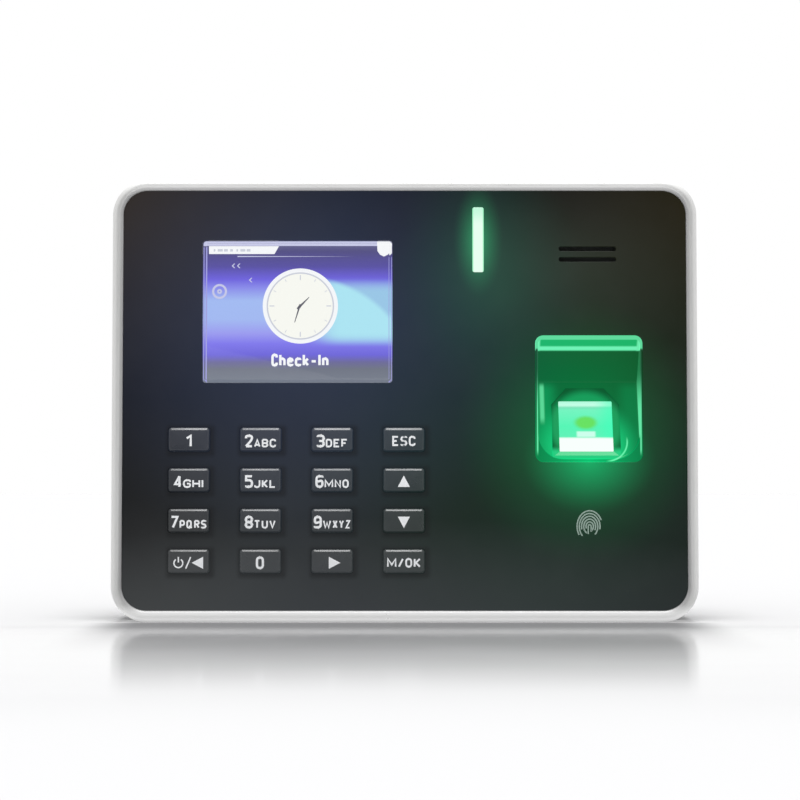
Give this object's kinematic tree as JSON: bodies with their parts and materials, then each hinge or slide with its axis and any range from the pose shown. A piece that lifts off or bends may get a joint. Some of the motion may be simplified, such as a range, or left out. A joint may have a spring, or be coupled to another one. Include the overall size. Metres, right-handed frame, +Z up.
{
  "type": "fingerprint scanner terminal",
  "caption": "Wall-mounted fingerprint terminal with a lit screen, a numeric keypad, a status light and a sunken optical finger sensor.",
  "frame": {"origin": "centre of the footprint, on the surface that the terminal stands on", "axes": "+X to the viewer's right, +Y from the front into the wall, +Z up; the front faces -Y"},
  "size_m": [0.18, 0.037, 0.136],
  "materials": {
    "panel_black": "black moulded plastic, satin gloss",
    "bezel_silver": "silver paint on moulded plastic, satin",
    "shell_charcoal": "charcoal moulded plastic, fine spark texture",
    "key_black": "black moulded plastic with white legends",
    "window_clear": "clear acrylic, polished",
    "screen_glass": "lit colour screen",
    "status_light": "milky plastic lit green-white",
    "sensor_well": "black-green moulded plastic, polished",
    "sensor_black": "black moulded plastic",
    "sensor_glass": "glass lit green from behind",
    "speaker_cloth": "black acoustic mesh",
    "speaker_steel": "black painted steel basket and magnet",
    "speaker_paper": "black paper cone",
    "foam_black": "black foam",
    "tray_white": "white moulded tray",
    "flex_amber": "amber polyimide",
    "silicone_white": "milky silicone",
    "board_green": "green circuit board",
    "chip_black": "black moulded plastic",
    "screw_steel": "zinc plated steel",
    "connector_steel": "nickel plated steel",
    "terminal_green": "green moulded plastic",
    "button_white": "white moulded plastic",
    "led_white": "LED package",
    "cable_white": "flat cable",
    "battery_blue": "blue sleeve round an aluminium pouch cell",
    "wire_red": "red insulated wire",
    "plate_steel": "zinc plated sheet steel, dull"
  },
  "bodies": {
    "terminal": {"front_panel": "panel_black", "bezel_frame": "bezel_silver", "screen_window": "window_clear", "status_light_pipe": "status_light", "sensor_cup": "sensor_well", "sensor_frame": "sensor_black", "sensor_prism": "sensor_glass", "sensor_body": "sensor_black", "sensor_light_board": "board_green", "sensor_camera": "board_green", "sensor_cable": "cable_white", "speaker_mesh": "speaker_cloth", "speaker_frame": "speaker_steel", "speaker_cone": "speaker_paper", "display_gasket": "foam_black", "display_glass": "screen_glass", "display_backlight": "tray_white", "display_flex": "flex_amber", "rubber_keypad": "silicone_white", "keypad_board": "board_green", "keypad_header": "chip_black", "keypad_screws": "screw_steel", "main_board": "board_green", "board_chips": "chip_black", "board_screws": "screw_steel", "status_leds": "led_white", "ethernet_jack": "connector_steel", "power_jack": "chip_black", "terminal_block": "terminal_green", "usb_port": "connector_steel", "reset_switch": "connector_steel", "tamper_switch": "chip_black", "tamper_spring": "screw_steel", "buzzer": "chip_black", "coin_cell_holder": "chip_black", "coin_cell": "connector_steel", "backup_battery": "battery_blue", "battery_bracket": "chip_black", "wire_leads": "wire_red", "rear_shell": "shell_charcoal", "wall_plate": "plate_steel", "case_screws": "screw_steel"},
    "key_1": {"key_1": "key_black"},
    "key_2": {"key_2": "key_black"},
    "key_3": {"key_3": "key_black"},
    "key_esc": {"key_esc": "key_black"},
    "key_4": {"key_4": "key_black"},
    "key_5": {"key_5": "key_black"},
    "key_6": {"key_6": "key_black"},
    "key_up": {"key_up": "key_black"},
    "key_7": {"key_7": "key_black"},
    "key_8": {"key_8": "key_black"},
    "key_9": {"key_9": "key_black"},
    "key_down": {"key_down": "key_black"},
    "key_power_left": {"key_power_left": "key_black"},
    "key_0": {"key_0": "key_black"},
    "key_right": {"key_right": "key_black"},
    "key_menu_ok": {"key_menu_ok": "key_black"},
    "reset_button": {"reset_button": "button_white"},
    "tamper_plunger": {"tamper_plunger": "button_white"}
  },
  "joints": [
    {"name": "key_1_press", "type": "slide", "parent": "terminal", "child": "key_1", "axis": [0, 1, 0], "range_m": [0, 0.001], "stiffness_N_per_m": 1200, "deforming": ["rubber_keypad"]},
    {"name": "key_2_press", "type": "slide", "parent": "terminal", "child": "key_2", "axis": [0, 1, 0], "range_m": [0, 0.001], "stiffness_N_per_m": 1200, "deforming": ["rubber_keypad"]},
    {"name": "key_3_press", "type": "slide", "parent": "terminal", "child": "key_3", "axis": [0, 1, 0], "range_m": [0, 0.001], "stiffness_N_per_m": 1200, "deforming": ["rubber_keypad"]},
    {"name": "key_esc_press", "type": "slide", "parent": "terminal", "child": "key_esc", "axis": [0, 1, 0], "range_m": [0, 0.001], "stiffness_N_per_m": 1200, "deforming": ["rubber_keypad"]},
    {"name": "key_4_press", "type": "slide", "parent": "terminal", "child": "key_4", "axis": [0, 1, 0], "range_m": [0, 0.001], "stiffness_N_per_m": 1200, "deforming": ["rubber_keypad"]},
    {"name": "key_5_press", "type": "slide", "parent": "terminal", "child": "key_5", "axis": [0, 1, 0], "range_m": [0, 0.001], "stiffness_N_per_m": 1200, "deforming": ["rubber_keypad"]},
    {"name": "key_6_press", "type": "slide", "parent": "terminal", "child": "key_6", "axis": [0, 1, 0], "range_m": [0, 0.001], "stiffness_N_per_m": 1200, "deforming": ["rubber_keypad"]},
    {"name": "key_up_press", "type": "slide", "parent": "terminal", "child": "key_up", "axis": [0, 1, 0], "range_m": [0, 0.001], "stiffness_N_per_m": 1200, "deforming": ["rubber_keypad"]},
    {"name": "key_7_press", "type": "slide", "parent": "terminal", "child": "key_7", "axis": [0, 1, 0], "range_m": [0, 0.001], "stiffness_N_per_m": 1200, "deforming": ["rubber_keypad"]},
    {"name": "key_8_press", "type": "slide", "parent": "terminal", "child": "key_8", "axis": [0, 1, 0], "range_m": [0, 0.001], "stiffness_N_per_m": 1200, "deforming": ["rubber_keypad"]},
    {"name": "key_9_press", "type": "slide", "parent": "terminal", "child": "key_9", "axis": [0, 1, 0], "range_m": [0, 0.001], "stiffness_N_per_m": 1200, "deforming": ["rubber_keypad"]},
    {"name": "key_down_press", "type": "slide", "parent": "terminal", "child": "key_down", "axis": [0, 1, 0], "range_m": [0, 0.001], "stiffness_N_per_m": 1200, "deforming": ["rubber_keypad"]},
    {"name": "key_power_left_press", "type": "slide", "parent": "terminal", "child": "key_power_left", "axis": [0, 1, 0], "range_m": [0, 0.001], "stiffness_N_per_m": 1200, "deforming": ["rubber_keypad"]},
    {"name": "key_0_press", "type": "slide", "parent": "terminal", "child": "key_0", "axis": [0, 1, 0], "range_m": [0, 0.001], "stiffness_N_per_m": 1200, "deforming": ["rubber_keypad"]},
    {"name": "key_right_press", "type": "slide", "parent": "terminal", "child": "key_right", "axis": [0, 1, 0], "range_m": [0, 0.001], "stiffness_N_per_m": 1200, "deforming": ["rubber_keypad"]},
    {"name": "key_menu_ok_press", "type": "slide", "parent": "terminal", "child": "key_menu_ok", "axis": [0, 1, 0], "range_m": [0, 0.001], "stiffness_N_per_m": 1200, "deforming": ["rubber_keypad"]},
    {"name": "reset_press", "type": "slide", "parent": "terminal", "child": "reset_button", "axis": [0, 0, 1], "range_m": [0, 0.0004], "stiffness_N_per_m": 1200},
    {"name": "tamper_press", "type": "slide", "parent": "terminal", "child": "tamper_plunger", "axis": [0, 1, 0], "range_m": [-0.0008, 0], "stiffness_N_per_m": 400, "springref_m": 0.0009, "deforming": ["tamper_spring"]}
  ]
}
